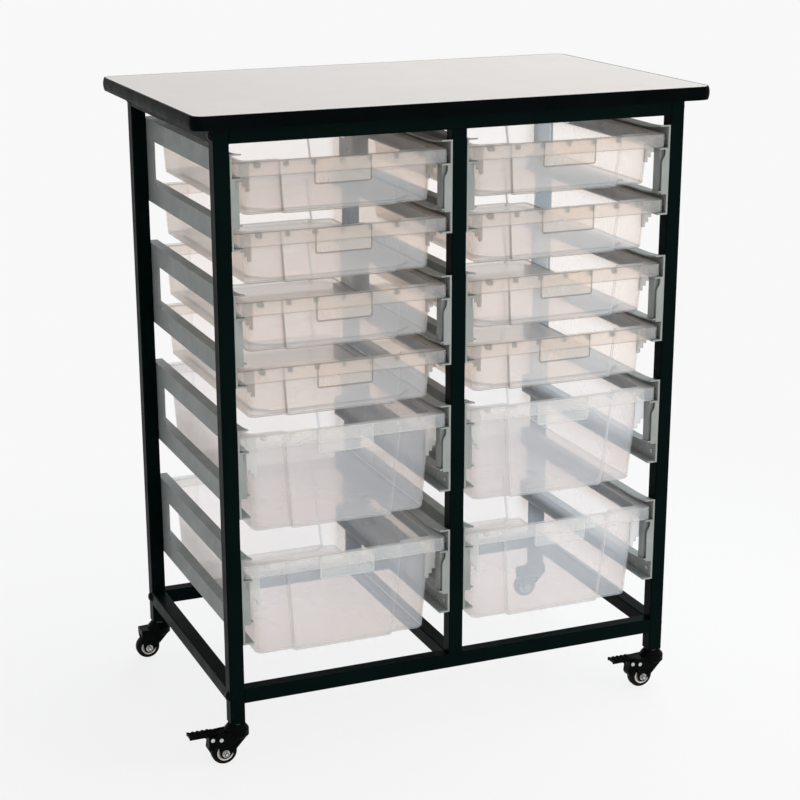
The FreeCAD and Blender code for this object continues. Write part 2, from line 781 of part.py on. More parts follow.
def brake_pedal():
    """Pedal, pivot boss and shoe, all between the fork's cheeks."""
    top_low = pedal_top - pedal_plate
    plate = box(-pedal_tip, -pedal_inner_end, -pedal_half_width, pedal_half_width, top_low, pedal_top)
    pieces = [plate]
    for number in range(pedal_ribs):
        left = number * pedal_rib_pitch - pedal_tip
        pieces.append(box(left, left + pedal_rib_width, -pedal_half_width, pedal_half_width,
                          top_low, pedal_top + pedal_rib_height))
    for side in (-1, 1):
        edge = side * pedal_half_width
        inner = side * (pedal_half_width - pedal_side)
        y0, y1 = min(edge, inner), max(edge, inner)
        cheek = [(-pedal_tip, pedal_top), (-pedal_inner_end, pedal_top), (-pedal_inner_end, top_low),
                 (-brake_pin_setback + pedal_boss_radius, brake_pin_height),
                 (-brake_pin_setback - pedal_boss_radius, brake_pin_height),
                 (-brake_pin_setback - pedal_boss_radius, pedal_top - pedal_flange),
                 (-pedal_tip, pedal_top - pedal_flange)]
        pieces.append(prism_y(cheek, y0, y1))
    boss = cylinder(pedal_boss_radius, vec(-brake_pin_setback, -pedal_half_width, brake_pin_height),
                    vec(-brake_pin_setback, pedal_half_width, brake_pin_height))
    pieces.append(boss)
    shoe_right = shoe_half_neck - brake_pin_setback
    wheel_left = -castor_trail - wheel_radius
    shoe_side = pedal_half_width - shoe_inset
    shoe = prism_y([(-shoe_half_neck - brake_pin_setback, brake_pin_height),
                    (wheel_left - shoe_heel_reach, shoe_heel), (wheel_left - shoe_toe_reach, shoe_bottom),
                    (shoe_right, shoe_bottom), (shoe_right, brake_pin_height)], -shoe_side, shoe_side)
    pieces.append(shoe)
    body = fuse_all(pieces)
    bore = cylinder(brake_pin_radius + running_clearance,
                    vec(-brake_pin_setback, -fork_outer, brake_pin_height),
                    vec(-brake_pin_setback, fork_outer, brake_pin_height))
    angle = math.radians(pedal_travel_deg)
    arm_x = brake_pin_setback - castor_trail
    arm_z = axle_height - brake_pin_height
    pressed_x = -brake_pin_setback + arm_x * math.cos(angle) + arm_z * math.sin(angle)
    pressed_z = brake_pin_height - arm_x * math.sin(angle) + arm_z * math.cos(angle)
    clear = wheel_radius + shoe_gap_pressed
    cuts = [bore]
    for x, z in ((pressed_x, pressed_z), (-castor_trail, axle_height)):
        cuts.append(cylinder(clear, vec(x, -fork_outer, z), vec(x, fork_outer, z)))
    return body.cut(cuts)


def make_castors():
    stems = []
    plugs = []
    plug = tube_plug(plug_length)
    plug = plug.cut(cylinder(stem_radius + hole_clearance, vec(0, 0, 0), vec(0, 0, plug_length)))
    wheel_tyre = tyre()
    wheel_hub = hub()
    pedal = brake_pedal()
    for end_name, end in (("front", -1), ("rear", 1)):
        braked = end < 0
        fork_shape = fork(braked)
        pins = castor_pins(braked)
        for side_name, side in (("left", -1), ("right", 1)):
            x, y = side * leg_x, end * leg_y
            name = end_name + "_" + side_name
            save(moved(fork_shape, x, y, 0), "castor_fork_" + name)
            save(moved(pins, x, y, 0), "castor_pins_" + name)
            save(moved(wheel_tyre, x - castor_trail, y, axle_height), "castor_tyre_" + name)
            save(moved(wheel_hub, x - castor_trail, y, axle_height), "castor_hub_" + name)
            if braked:
                save(moved(pedal, x, y, 0), "brake_pedal_" + side_name)
            stems.append(moved(stem(), x, y, 0))
            plugs.append(moved(plug, x, y, castor_height))
    save(group(stems), "castor_stems")
    save(group(plugs), "leg_plugs")


# ---------------------------------------------------------------- frame bolts, rail plugs, top screws
def frame_bolt():
    """Bolt along X: a domed cap at x = 0 and a shank towards +X."""
    dome_radius = (cap_radius * cap_radius + cap_height * cap_height) / (2 * cap_height)
    ball = Part.makeSphere(dome_radius, vec(dome_radius - cap_height, 0, 0))
    cap = ball.common(box(-cap_height, 0, -cap_radius, cap_radius, -cap_radius, cap_radius))
    shank = cylinder(bolt_radius, vec(-overlap, 0, 0), vec(tube_size + bolt_grip, 0, 0))
    return cap.fuse(shank).removeSplitter()


def make_fasteners():
    bolt = frame_bolt()
    bolt_mirrored = mirrored_x(bolt)
    plug = tube_plug(plug_length)
    plug.rotate(vec(0, 0, 0), vec(0, 1, 0), 90)
    plug = plug.cut(cylinder(bolt_radius + hole_clearance, vec(0, 0, 0), vec(plug_length, 0, 0)))
    plug_mirrored = mirrored_x(plug)
    bolts = []
    plugs = []
    for end in (-1, 1):
        for height in bolt_heights:
            bolts.append(moved(bolt, -half_width, end * leg_y, height))
            bolts.append(moved(bolt_mirrored, half_width, end * leg_y, height))
            plugs.append(moved(plug, -inner_face, end * leg_y, height))
            plugs.append(moved(plug_mirrored, inner_face, end * leg_y, height))
    save(group(bolts), "frame_bolts")
    save(group(plugs), "rail_plugs")
    screws = []
    for x, y in top_screw_places():
        head = cylinder(top_screw_head_radius, vec(x, y, top_rail_base - top_screw_head),
                        vec(x, y, top_rail_base))
        shank = cylinder(top_screw_radius, vec(x, y, top_rail_base - overlap),
                         vec(x, y, leg_top + top_screw_bite))
        screws.append(head.fuse(shank).removeSplitter())
    save(group(screws), "top_screws")


make_legs()
make_posts()
make_rails()
make_top()
make_runners()
make_trays()
make_castors()
make_fasteners()
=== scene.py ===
import math
import bmesh
import bpy
from mathutils import Matrix, Vector


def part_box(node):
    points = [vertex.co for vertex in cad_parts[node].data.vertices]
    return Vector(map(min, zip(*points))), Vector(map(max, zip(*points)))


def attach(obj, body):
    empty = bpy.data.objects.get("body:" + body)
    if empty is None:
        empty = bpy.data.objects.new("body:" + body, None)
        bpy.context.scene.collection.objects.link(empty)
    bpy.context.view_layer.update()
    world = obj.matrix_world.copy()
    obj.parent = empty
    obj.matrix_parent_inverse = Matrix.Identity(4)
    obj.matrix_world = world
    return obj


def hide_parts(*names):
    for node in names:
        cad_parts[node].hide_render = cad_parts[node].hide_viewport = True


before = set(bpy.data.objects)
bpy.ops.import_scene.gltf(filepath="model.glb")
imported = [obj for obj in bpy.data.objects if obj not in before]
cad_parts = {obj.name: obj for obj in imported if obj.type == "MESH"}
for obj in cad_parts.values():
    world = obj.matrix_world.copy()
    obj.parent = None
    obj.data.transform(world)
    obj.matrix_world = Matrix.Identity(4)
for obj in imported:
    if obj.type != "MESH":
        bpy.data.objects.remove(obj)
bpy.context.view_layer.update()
mm = 0.001                  # sizes below are in millimetres, the scene in metres
print("frame loaded:", len(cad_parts), "nodes")


# small helpers for shader trees
def startFinish(name):
    finish = bpy.data.materials.new(name)
    finish.use_nodes = True
    tree = finish.node_tree
    return finish, tree, tree.nodes["Principled BSDF"]


def addNode(tree, kind, inputs=None, **settings):
    node = tree.nodes.new(kind)
    for key, value in settings.items():
        setattr(node, key, value)
    for key, value in (inputs or {}).items():
        if isinstance(value, bpy.types.NodeSocket):
            tree.links.new(value, node.inputs[key])
        else:
            node.inputs[key].default_value = value
    return node


def surfacePlace(tree):
    return addNode(tree, "ShaderNodeTexCoord").outputs["Object"]


def grain(tree, place, scale, detail=3.0, rough=0.55):
    noise = addNode(tree, "ShaderNodeTexNoise", {"Vector": place, "Scale": scale, "Detail": detail,
                                                 "Roughness": rough})
    return noise.outputs["Fac"]


def spread(tree, value, low, high, fromLow=0.3, fromHigh=0.7):
    ranged = addNode(tree, "ShaderNodeMapRange", {"Value": value, "From Min": fromLow, "From Max": fromHigh,
                                                  "To Min": low, "To Max": high})
    return ranged.outputs["Result"]


def blendColours(tree, factor, first, second):
    mix = addNode(tree, "ShaderNodeMix", data_type="RGBA")
    tree.links.new(factor, mix.inputs[0])
    for socket, colour in ((mix.inputs[6], first), (mix.inputs[7], second)):
        if isinstance(colour, bpy.types.NodeSocket):
            tree.links.new(colour, socket)
        else:
            socket.default_value = (*colour, 1)
    return mix.outputs[2]


def relief(tree, height, strength, distance):
    bump = addNode(tree, "ShaderNodeBump", {"Height": height, "Strength": strength, "Distance": distance})
    return bump.outputs["Normal"]


plainIndex = 1.45            # gloss of a bare moulding; paint and dull plastic mirror less


def mouldedFinish(name, look):
    # mottled colour, uneven gloss and a fine skin, for paint, plastic, rubber and plated steel, with
    # painted shade in crevices where a look gives its colour
    finish, tree, shader = startFinish(name)
    place = surfacePlace(tree)
    mottle = spread(tree, grain(tree, place, look["mottleScale"]), 0, 1)
    colour = blendColours(tree, mottle, look["dark"], look["light"])
    if "paintedShade" in look:                   # painted shade: the colour turns darker where the ambient occlusion mask finds surfaces close by
        shadeMask = addNode(tree, "ShaderNodeAmbientOcclusion", {"Distance": look["paintedShadeReach"] * mm},
                       samples=6)
        unshadedShare = spread(tree, shadeMask.outputs["AO"], 0, 1, *look["paintedShadeRange"])
        colour = blendColours(tree, unshadedShare, look["paintedShade"], colour)
    tree.links.new(colour, shader.inputs["Base Color"])
    gloss = spread(tree, grain(tree, place, look["glossScale"], 2), *look["rough"])
    tree.links.new(gloss, shader.inputs["Roughness"])
    skin = grain(tree, place, look["skinScale"], 2, 0.6)
    tree.links.new(relief(tree, skin, look["skinStrength"], look["skinDepth"] * mm),
                   shader.inputs["Normal"])
    shader.inputs["Specular IOR Level"].default_value = look["specular"]
    shader.inputs["IOR"].default_value = look.get("index", plainIndex)
    shader.inputs["Metallic"].default_value = look.get("metal", 0)
    return finish


framePaint = mouldedFinish("framePaint", {
    "dark": (0.0006, 0.0034, 0.0032), "light": (0.0011, 0.0050, 0.0046), "mottleScale": 9,
    "rough": (0.28, 0.40), "glossScale": 26, "skinScale": 1100, "skinStrength": 0.12, "skinDepth": 0.05,
    "specular": 0.5, "index": 1.07})
edgeBandFinish = mouldedFinish("edgeBandFinish", {
    "dark": (0.0010, 0.0018, 0.0020), "light": (0.0018, 0.0028, 0.0030), "mottleScale": 14,
    "rough": (0.25, 0.38), "glossScale": 40, "skinScale": 900, "skinStrength": 0.1, "skinDepth": 0.05,
    "specular": 0.5, "index": 1.055})
# runners: painted shade in their channels, the slot by the front plate and the corners round them
runnerFinish = mouldedFinish("runnerFinish", {
    "dark": (0.225, 0.25, 0.245), "light": (0.28, 0.305, 0.30), "mottleScale": 22,
    "paintedShade": (0.035, 0.045, 0.042), "paintedShadeReach": 14, "paintedShadeRange": (0.05, 0.65),
    "rough": (0.38, 0.52), "glossScale": 60, "skinScale": 1500, "skinStrength": 0.18, "skinDepth": 0.06,
    "specular": 0.28})
castorFinish = mouldedFinish("castorFinish", {
    "dark": (0.0012, 0.0015, 0.0016), "light": (0.0022, 0.0026, 0.0028), "mottleScale": 60,
    "rough": (0.22, 0.34), "glossScale": 120, "skinScale": 2200, "skinStrength": 0.15, "skinDepth": 0.05,
    "specular": 0.5, "index": 1.09})
tyreFinish = mouldedFinish("tyreFinish", {
    "dark": (0.0020, 0.0022, 0.0024), "light": (0.0045, 0.0048, 0.0050), "mottleScale": 80,
    "rough": (0.45, 0.62), "glossScale": 150, "skinScale": 2600, "skinStrength": 0.25, "skinDepth": 0.06,
    "specular": 0.5, "index": 1.14})
# hubs: painted shade in the hollows round the cream hub
hubFinish = mouldedFinish("hubFinish", {
    "dark": (0.52, 0.49, 0.44), "light": (0.64, 0.61, 0.56), "mottleScale": 90,
    "paintedShade": (0.05, 0.046, 0.038), "paintedShadeReach": 4, "paintedShadeRange": (0.15, 0.85),
    "rough": (0.35, 0.5), "glossScale": 160, "skinScale": 2400, "skinStrength": 0.15, "skinDepth": 0.05,
    "specular": 0.5})
plugFinish = mouldedFinish("plugFinish", {
    "dark": (0.004, 0.004, 0.005), "light": (0.007, 0.007, 0.008), "mottleScale": 50,
    "rough": (0.5, 0.65), "glossScale": 90, "skinScale": 1800, "skinStrength": 0.2, "skinDepth": 0.06,
    "specular": 0.5, "index": 1.14})
capFinish = mouldedFinish("capFinish", {
    "dark": (0.0010, 0.0014, 0.0014), "light": (0.0018, 0.0024, 0.0024), "mottleScale": 60,
    "rough": (0.2, 0.3), "glossScale": 120, "skinScale": 1600, "skinStrength": 0.1, "skinDepth": 0.04,
    "specular": 0.5, "index": 1.13})
# plated steel: painted shade in the recesses of nuts, pins and screw heads
zincFinish = mouldedFinish("zincFinish", {
    "dark": (0.46, 0.48, 0.475), "light": (0.66, 0.675, 0.665), "mottleScale": 260,
    "paintedShade": (0.09, 0.09, 0.095), "paintedShadeReach": 2.5, "paintedShadeRange": (0.2, 0.85),
    "rough": (0.24, 0.42), "glossScale": 300, "skinScale": 3200, "skinStrength": 0.2, "skinDepth": 0.04,
    "specular": 0.5, "metal": 1.0})


def laminateFinish():
    # pale grey sheet with a fine fleck under a satin face
    look = {"ground": (0.735, 0.717, 0.700), "cloud": (0.707, 0.690, 0.673), "fleck": (0.580, 0.565, 0.550),
            "fleckScale": 620, "fleckAmount": 0.55, "fleckSize": (0.12, 0.34), "gapScale": 240,
            "gapRange": (0.45, 0.62), "cloudScale": 7, "rough": (0.42, 0.52), "glossScale": 35,
            "skinScale": 1300, "skinStrength": 0.08, "skinDepth": 0.04, "specular": 0.12}
    finish, tree, shader = startFinish("laminateFinish")
    place = surfacePlace(tree)
    ground = blendColours(tree, spread(tree, grain(tree, place, look["cloudScale"]), 0, 1),
                          look["ground"], look["cloud"])
    flecks = addNode(tree, "ShaderNodeTexVoronoi", {"Vector": place, "Scale": look["fleckScale"],
                                                    "Randomness": 1.0})
    amount = spread(tree, flecks.outputs["Distance"], look["fleckAmount"], 0, *look["fleckSize"])
    # patches with no flecks
    patch = spread(tree, grain(tree, place, look["gapScale"], 2), 0, 1, *look["gapRange"])
    amount = addNode(tree, "ShaderNodeMath", {0: amount, 1: patch}, operation="MULTIPLY").outputs[0]
    tree.links.new(blendColours(tree, amount, ground, look["fleck"]), shader.inputs["Base Color"])
    gloss = spread(tree, grain(tree, place, look["glossScale"]), *look["rough"])
    tree.links.new(gloss, shader.inputs["Roughness"])
    skin = grain(tree, place, look["skinScale"], 2)
    tree.links.new(relief(tree, skin, look["skinStrength"], look["skinDepth"] * mm),
                   shader.inputs["Normal"])
    shader.inputs["Specular IOR Level"].default_value = look["specular"]
    return finish


def boardFinish():
    # pressed wood chips with a pale backing sheet on the underside
    look = {"dark": (0.30, 0.21, 0.13), "pale": (0.58, 0.45, 0.31), "chipScale": 260, "rough": (0.6, 0.8),
            "sheet": (0.66, 0.655, 0.64), "sheetCloud": (0.62, 0.615, 0.60), "cloudScale": 9,
            "glossScale": 200, "chipStrength": 0.2, "chipDepth": 0.05, "downward": (-0.8, -0.5)}
    finish, tree, shader = startFinish("boardFinish")
    place = surfacePlace(tree)
    chips = addNode(tree, "ShaderNodeTexVoronoi", {"Vector": place, "Scale": look["chipScale"]})
    tone = addNode(tree, "ShaderNodeSeparateColor", {"Color": chips.outputs["Color"]}).outputs[0]
    wood = blendColours(tree, tone, look["dark"], look["pale"])
    cloud = spread(tree, grain(tree, place, look["cloudScale"]), 0, 1)
    sheet = blendColours(tree, cloud, look["sheet"], look["sheetCloud"])
    outward = addNode(tree, "ShaderNodeNewGeometry").outputs["Normal"]
    upward = addNode(tree, "ShaderNodeSeparateXYZ", {0: outward}).outputs["Z"]
    under = spread(tree, upward, 1, 0, *look["downward"])
    tree.links.new(blendColours(tree, under, wood, sheet), shader.inputs["Base Color"])
    gloss = spread(tree, grain(tree, place, look["glossScale"]), *look["rough"])
    tree.links.new(gloss, shader.inputs["Roughness"])
    tree.links.new(relief(tree, chips.outputs["Distance"], look["chipStrength"], look["chipDepth"] * mm),
                   shader.inputs["Normal"])
    return finish


trayPlasticGrain = {"skinScale": 160, "skinStrength": 0.05, "skinDepth": 0.08, "cloudScale": 14,
                    "slantPower": 3.0, "sheenPower": 5.0}


def trayFinish(name, look):
    # milky see-through polypropylene: each face lets warm light by and scatters the bluer part
    finish, tree, shader = startFinish(name)
    tree.nodes.remove(shader)
    place = surfacePlace(tree)
    common = trayPlasticGrain
    skin = relief(tree, grain(tree, place, common["skinScale"], 2), common["skinStrength"],
                  common["skinDepth"] * mm)
    facing = addNode(tree, "ShaderNodeLayerWeight", {"Blend": 0.5}).outputs["Facing"]
    slant = addNode(tree, "ShaderNodeMath", {0: facing, 1: common["slantPower"]}, operation="POWER")
    cloud = spread(tree, grain(tree, place, common["cloudScale"], 3), 0, look["cloud"])
    thick = addNode(tree, "ShaderNodeMath", {0: slant.outputs[0], 1: cloud}, operation="ADD",
                    use_clamp=True).outputs[0]
    scatter = blendColours(tree, thick, look["scatter"], look["scatterSlant"])
    front = addNode(tree, "ShaderNodeBsdfDiffuse", {"Color": scatter, "Normal": skin})
    back = addNode(tree, "ShaderNodeBsdfTranslucent", {"Color": scatter, "Normal": skin})
    milk = addNode(tree, "ShaderNodeMixShader", {0: 0.5, 1: front.outputs[0], 2: back.outputs[0]})
    clear = addNode(tree, "ShaderNodeBsdfTransparent",
                    {"Color": blendColours(tree, thick, look["clear"], look["clearSlant"])})
    body = addNode(tree, "ShaderNodeAddShader", {0: clear.outputs[0], 1: milk.outputs[0]})
    shine = addNode(tree, "ShaderNodeBsdfGlossy", {"Color": (1, 1, 1, 1), "Roughness": look["rough"],
                                                   "Normal": skin})
    # outer faces shine more the more they turn away; the faces inside the wall don't
    turned = addNode(tree, "ShaderNodeMath", {0: facing, 1: common["sheenPower"]}, operation="POWER")
    sheen = spread(tree, turned.outputs[0], look["shine"][0], look["shine"][1], 0, 1)
    inside = addNode(tree, "ShaderNodeNewGeometry").outputs["Backfacing"]
    outside = addNode(tree, "ShaderNodeMath", {0: 1.0, 1: inside}, operation="SUBTRACT")
    amount = addNode(tree, "ShaderNodeMath", {0: sheen, 1: outside.outputs[0]}, operation="MULTIPLY")
    skinShader = addNode(tree, "ShaderNodeMixShader", {0: amount.outputs[0], 1: body.outputs[0],
                                                       2: shine.outputs[0]})
    tree.links.new(skinShader.outputs[0], tree.nodes["Material Output"].inputs["Surface"])
    return finish


laminate = laminateFinish()
chipboard = boardFinish()
trayPlastic = trayFinish("trayPlastic", {
    "clear": (0.835, 0.770, 0.715), "clearSlant": (0.55, 0.505, 0.47), "scatter": (0.166, 0.206, 0.244),
    "scatterSlant": (0.37, 0.395, 0.415), "cloud": 0.12, "rough": 0.24, "shine": (0.02, 0.36)})
deepPlastic = trayFinish("deepPlastic", {   # deep trays' walls, a cooler tone
    "clear": (0.805, 0.755, 0.718), "clearSlant": (0.53, 0.50, 0.48), "scatter": (0.160, 0.190, 0.220),
    "scatterSlant": (0.36, 0.385, 0.405), "cloud": 0.12, "rough": 0.24, "shine": (0.02, 0.36)})
trayRim = trayFinish("trayRim", {           # shallow trays' rim, skirt and tab, which let less light by
    "clear": (0.775, 0.715, 0.672), "clearSlant": (0.47, 0.44, 0.415), "scatter": (0.170, 0.196, 0.212),
    "scatterSlant": (0.52, 0.535, 0.54), "cloud": 0.12, "rough": 0.22, "shine": (0.025, 0.40)})
trayMilk = trayFinish("trayMilk", {         # the same on the deep trays, milkier
    "clear": (0.765, 0.73, 0.70), "clearSlant": (0.47, 0.455, 0.44), "scatter": (0.190, 0.218, 0.240),
    "scatterSlant": (0.52, 0.54, 0.55), "cloud": 0.12, "rough": 0.22, "shine": (0.025, 0.40)})
trayPaintedHighlight = trayFinish("trayPaintedHighlight", {     # painted highlight: a brighter copy of the plastic for the deep trays' bends and edge lines
    "clear": (0.52, 0.51, 0.50), "clearSlant": (0.36, 0.35, 0.35), "scatter": (0.36, 0.375, 0.38),
    "scatterSlant": (0.40, 0.41, 0.41), "cloud": 0.12, "rough": 0.22, "shine": (0.03, 0.38)})
trayPaintedEdgeShade = trayFinish("trayPaintedEdgeShade", {         # painted shade: a darker copy of the plastic for bends and edge lines
    "clear": (0.58, 0.55, 0.525), "clearSlant": (0.30, 0.28, 0.27), "scatter": (0.15, 0.165, 0.17),
    "scatterSlant": (0.22, 0.24, 0.25), "cloud": 0.12, "rough": 0.2, "shine": (0.025, 0.40)})
trayPaintedCreaseShade = trayFinish("trayPaintedCreaseShade", {     # painted shade, darkest: the sharpest edges, the floor's border line, the ribs and the tab's border
    "clear": (0.42, 0.405, 0.385), "clearSlant": (0.24, 0.23, 0.22), "scatter": (0.12, 0.13, 0.13),
    "scatterSlant": (0.16, 0.17, 0.17), "cloud": 0.12, "rough": 0.2, "shine": (0.02, 0.22)})
print("finishes made")


def dress(node, finish):
    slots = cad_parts[node].data.materials
    if len(slots) == 0:
        slots.append(finish)
    for index in range(len(slots)):
        slots[index] = finish


# the first start that fits a node's name gives its finish
finishByStart = (
    ("leg_plugs", plugFinish), ("rail_plugs", plugFinish), ("leg_", framePaint), ("rail_", framePaint),
    ("centre_post", framePaint), ("frame_bolts", capFinish), ("top_board", chipboard),
    ("top_laminate", laminate), ("top_edge_band", edgeBandFinish), ("top_screws", zincFinish),
    ("runners_", runnerFinish), ("runner_screws", zincFinish), ("tray_", trayPlastic),
    ("castor_fork", castorFinish), ("brake_pedal", castorFinish), ("castor_tyre", tyreFinish),
    ("castor_hub", hubFinish), ("castor_pins", zincFinish), ("castor_stems", zincFinish))
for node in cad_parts:
    dress(node, next(finish for begins, finish in finishByStart if node.startswith(begins)))
print("frame, runners, top and castors dressed")


# trays: one shell for each height, made ring by ring from the floor's middle out to the rim and back under
tray = {"width": 312, "depth": 427, "flange": 15.5, "rimThick": 2.0, "rimCorner": 8, "skirt": 19.5,
        "skirtWall": 2.0, "wall": 1.8, "wallTop": 20, "floor": 2.0, "corner": 12, "lean": 0.055,
        "frontLean": 0.075, "panelHalf": 88.5, "panelLean": 0.085, "panelProud": 8, "panelSlant": 3,
        "backHalf": 96, "backLean": -0.1, "foot": 13.0, "footStep": 1.4, "footCut": 24, "footLine": 3.0,
        "fillet": 3.2, "filletSteps": 4, "edge": 0.5, "rimLine": 2.4, "underRim": 2.1,
        "ribPitch": 40, "ribsEachSide": 3, "ribWidth": 6.5, "ribDrop": 9, "ribGap": 0.1, "ribEase": 0.3,
        "gussetInner": 129, "gussetStep": 5, "gussetRise": 7, "gussetFront": 13.5, "gussetBack": 18.0,
        "gussetDrop": {75: 42, 150: 65}, "gussetEase": 0.35, "cornerSteps": 8}


def cornerPoints(cx, cy, radius, start):
    points = []
    for step in range(tray["cornerSteps"] + 1):
        angle = math.radians(start + 90 * step / tray["cornerSteps"])
        points.append((cx + radius * math.cos(angle), cy + radius * math.sin(angle)))
    return points


def panelPoints(half, line, proud):
    # across the wall from -X to +X, with a bent step at each side of the panel
    slant = tray["panelSlant"]
    return [(-half - slant, line), (-half - slant / 2, line + proud / 2), (-half, line + proud),
            (half, line + proud), (half + slant / 2, line + proud / 2), (half + slant, line)]


def closeRing(corners, panelHalf, backHalf, front, back, proud, z):
    # corners run round from the front right; the back panel lies between the second and third
    share = len(corners) // 2
    points = corners[:share] + list(reversed(panelPoints(backHalf, back, proud))) + corners[share:]
    points += panelPoints(panelHalf, front, -proud)
    return [(x, y, z) for x, y in points]


def trayRing(half, front, back, radius, panel, backPanel, proud, z):
    corners = cornerPoints(half - radius, front + radius, radius, -90)
    corners += cornerPoints(half - radius, back - radius, radius, 0)
    corners += cornerPoints(radius - half, back - radius, radius, 90)
    corners += cornerPoints(radius - half, front + radius, radius, 180)
    return closeRing(corners, panel, backPanel, front, back, proud, z)


def rimRing(inset, z):
    return trayRing(tray["width"] / 2 - inset, inset, tray["depth"] - inset,
                    max(tray["rimCorner"] - inset, 0.4), tray["panelHalf"], tray["backHalf"], 0, z)


def wallLines(inset, wallZ):
    # the leaning walls' lines at a height below the rim, moved in by inset
    sink = -wallZ
    lean = tray["lean"] * sink
    return {"half": tray["width"] / 2 - tray["flange"] - lean - inset,
            "front": tray["flange"] + tray["frontLean"] * sink + inset,
            "back": tray["depth"] - tray["flange"] - lean - inset,
            "panel": tray["panelHalf"] - tray["panelLean"] * sink - inset,
            "backPanel": tray["backHalf"] - tray["backLean"] * sink - inset}


def bodyRing(inset, z):
    line = wallLines(inset, z)
    return trayRing(line["half"], line["front"], line["back"], max(tray["corner"] - inset, 0.8),
                    line["panel"], line["backPanel"], tray["panelProud"], z)


def footRing(inset, wallZ, z):
    # straight-cut corners, so the ring's corner points run along the cut
    line = wallLines(inset, wallZ)
    half, front, back, cut = line["half"], line["front"], line["back"], tray["footCut"]
    steps = tray["cornerSteps"]
    cuts = (((half - cut, front), (half, front + cut)), ((half, back - cut), (half - cut, back)),
            ((cut - half, back), (-half, back - cut)), ((-half, front + cut), (cut - half, front)))
    corners = []
    for (startX, startY), (endX, endY) in cuts:
        for step in range(steps + 1):
            share = step / steps
            corners.append((startX + (endX - startX) * share, startY + (endY - startY) * share))
    backPanel = min(line["backPanel"], half - cut - tray["panelSlant"] - 1)
    return closeRing(corners, line["panel"], backPanel, front, back, 0, z)


def trayRings(height):
    # pairs of a ring and the finish of the strip up to the next ring:
    # 0 plain, 1 edge, 2 crease, 3 rim, 4 floor; 1 and 2 hold painted shade on the shallow trays and painted
    # highlight on the deep ones, and 4 is painted shade on the shallow trays only
    wall, edge, fillet, wallTop = tray["wall"], tray["edge"], tray["fillet"], -tray["wallTop"]
    quarter = [math.radians(90 * step / tray["filletSteps"]) for step in range(tray["filletSteps"] + 1)]
    top = tray["floor"] - height            # floor's upper face
    low = -height
    inner, outer = tray["foot"] + wall, tray["foot"]
    rings = [(footRing(inner + tray["footLine"], top, top + tray["footStep"]), 4),
             (footRing(inner, top, top), 0)]
    for step, angle in enumerate(quarter):  # inside fillet, floor to wall; its middle strips take the painted edge line
        rings.append((bodyRing(wall + fillet * (1 - math.sin(angle)), top + fillet * (1 - math.cos(angle))),
                      1 if step in (1, 2) else 0))
    rings += [(bodyRing(wall, wallTop), 0), (bodyRing(wall, -edge * 2), 1),
              (bodyRing(wall - edge, -edge * 0.3), 1), (bodyRing(wall - edge * 2, 0), 3)]
    rings += [(rimRing(tray["rimLine"], 0), 1), (rimRing(edge * 1.6, 0), 2),
              (rimRing(edge * 0.5, -edge * 0.4), 1), (rimRing(0, -edge * 1.6), 3)]
    skirt, thick = -tray["skirt"], tray["skirtWall"]
    rings += [(rimRing(0, skirt + edge * 2), 1), (rimRing(0, skirt + edge), 1),
              (rimRing(edge * 0.8, skirt), 1), (rimRing(thick - edge * 0.8, skirt), 1),
              (rimRing(thick, skirt + edge), 3),
              (rimRing(thick, -tray["rimThick"] - edge), 1), (rimRing(thick + edge, -tray["rimThick"]), 3)]
    rings += [(bodyRing(-edge, -tray["rimThick"]), 1), (bodyRing(0, -tray["rimThick"] - edge), 0),
              (bodyRing(0, wallTop), 0)]
    reach = fillet + wall * 0.4
    for step, angle in enumerate(quarter):  # outside fillet, wall to floor; its middle strips take the painted edge line
        rings.append((bodyRing(reach * (1 - math.cos(angle)), low + reach * (1 - math.sin(angle))),
                      1 if step in (1, 2) else 0))
    rings += [(footRing(outer, low, low), 4),
              (footRing(outer + tray["footLine"], low, low + tray["footStep"]), 0)]
    return rings


def addPrism(mesh, outline, y0, y1, bevel, slot=1):
    # outline of (x, z) points, pushed back from y0 to y1, with its edges eased
    front = [mesh.verts.new((x, y0, z)) for x, z in outline]
    back = [mesh.verts.new((x, y1, z)) for x, z in outline]
    count = len(outline)
    faces = [mesh.faces.new(front), mesh.faces.new(list(reversed(back)))]
    for index in range(count):
        following = (index + 1) % count
        faces.append(mesh.faces.new((front[index], back[index], back[following], front[following])))
    bmesh.ops.recalc_face_normals(mesh, faces=faces)
    for face in faces:
        face.material_index = slot
    edges = {edge for face in faces for edge in face.edges}
    bmesh.ops.bevel(mesh, geom=list(edges), offset=bevel, segments=2, profile=0.5, affect="EDGES")


def meshData(name, build, finishes, sharp=32):
    # build works in millimetres; the finished data is in metres
    mesh = bmesh.new()
    build(mesh)
    bmesh.ops.scale(mesh, vec=(mm, mm, mm), verts=mesh.verts)
    data = bpy.data.meshes.new(name)
    mesh.to_mesh(data)
    mesh.free()
    data.polygons.foreach_set("use_smooth", [True] * len(data.polygons))
    data.set_sharp_from_angle(angle=math.radians(sharp))
    for finish in finishes:
        data.materials.append(finish)
    return data


def stackRings(mesh, stack, firstSlot, lastSlot):
    # a closed shell through a stack of (points, slot) rings, with a face over each end
    rings = [([mesh.verts.new(point) for point in points], slot) for points, slot in stack]
    faces = [mesh.faces.new(rings[0][0]), mesh.faces.new(list(reversed(rings[-1][0])))]
    faces[0].material_index, faces[1].material_index = firstSlot, lastSlot
    for (near, slot), (far, _) in zip(rings[:-1], rings[1:]):
        for index in range(len(near)):
            following = (index + 1) % len(near)
            face = mesh.faces.new((near[index], far[index], far[following], near[following]))
            face.material_index = slot
            faces.append(face)
    bmesh.ops.recalc_face_normals(mesh, faces=faces)


